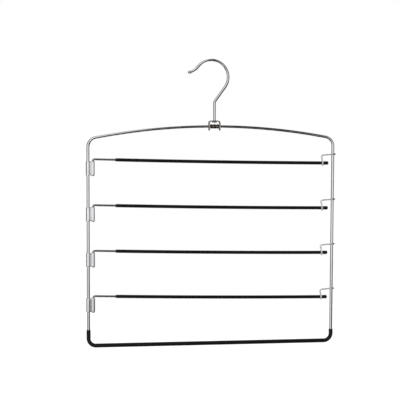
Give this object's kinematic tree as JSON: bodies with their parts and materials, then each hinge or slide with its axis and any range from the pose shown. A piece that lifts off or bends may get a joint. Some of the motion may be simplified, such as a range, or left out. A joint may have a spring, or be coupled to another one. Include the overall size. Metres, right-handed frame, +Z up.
{
  "type": "multi tier trouser hanger",
  "caption": "Wire-framed trouser hanger with a swivelling hook, sleeved arms that swing out to the back one above another, and a sleeved bottom bar.",
  "frame": {"origin": "rail seat: the inner top of the hook, where the wardrobe rail bears", "axes": "+Z up, +X to the right seen from the front, +Y to the back, the way the arms swing out"},
  "size_m": [0.3728, 0.01, 0.4269],
  "materials": {
    "hook_chrome": "bright chrome plate on steel wire",
    "bracket_chrome": "chrome plate on bent steel strip",
    "frame_chrome": "bright chrome plate on steel wire",
    "ferrule_chrome": "dull plate on a crimped steel tube",
    "catch_chrome": "bright chrome plate on thin steel wire",
    "arm_chrome": "bright chrome plate on steel wire",
    "clip_zinc": "bright zinc plate on folded strip",
    "black_vinyl": "soft black PVC tube, satin",
    "black_cap": "moulded black plastic, satin gloss"
  },
  "bodies": {
    "hook": {"hook": "hook_chrome"},
    "bracket": {"swivel_bracket": "bracket_chrome"},
    "frame": {"frame_wire": "frame_chrome", "frame_ferrule": "ferrule_chrome", "bottom_sleeve": "black_vinyl", "hinge_clip_1": "clip_zinc", "hinge_clip_2": "clip_zinc", "hinge_clip_3": "clip_zinc", "hinge_clip_4": "clip_zinc", "catch_1": "catch_chrome", "catch_2": "catch_chrome", "catch_3": "catch_chrome", "catch_4": "catch_chrome"},
    "arm_1": {"arm_wire_1": "arm_chrome", "arm_sleeve_1": "black_vinyl", "arm_cap_1": "black_cap"},
    "arm_2": {"arm_wire_2": "arm_chrome", "arm_sleeve_2": "black_vinyl", "arm_cap_2": "black_cap"},
    "arm_3": {"arm_wire_3": "arm_chrome", "arm_sleeve_3": "black_vinyl", "arm_cap_3": "black_cap"},
    "arm_4": {"arm_wire_4": "arm_chrome", "arm_sleeve_4": "black_vinyl", "arm_cap_4": "black_cap"}
  },
  "joints": [
    {"name": "hook_swivel", "type": "hinge", "parent": "hook", "child": "bracket", "pos_m": [0.0049, 0, -0.0869], "axis": [0, 0, 1], "continuous": true},
    {"name": "bracket_rock", "type": "hinge", "parent": "bracket", "child": "frame", "pos_m": [0.0049, 0, -0.0956], "axis": [1, 0, 0], "range_deg": [-90, 90]},
    {"name": "arm_1_swing", "type": "hinge", "parent": "frame", "child": "arm_1", "pos_m": [-0.1746, 0.00095, -0.1564], "axis": [0, 0, 1], "range_deg": [0, 150]},
    {"name": "arm_2_swing", "type": "hinge", "parent": "frame", "child": "arm_2", "pos_m": [-0.1746, 0.00095, -0.2239], "axis": [0, 0, 1], "range_deg": [0, 150]},
    {"name": "arm_3_swing", "type": "hinge", "parent": "frame", "child": "arm_3", "pos_m": [-0.1746, 0.00095, -0.2914], "axis": [0, 0, 1], "range_deg": [0, 150]},
    {"name": "arm_4_swing", "type": "hinge", "parent": "frame", "child": "arm_4", "pos_m": [-0.1746, 0.00095, -0.3589], "axis": [0, 0, 1], "range_deg": [0, 150]}
  ]
}
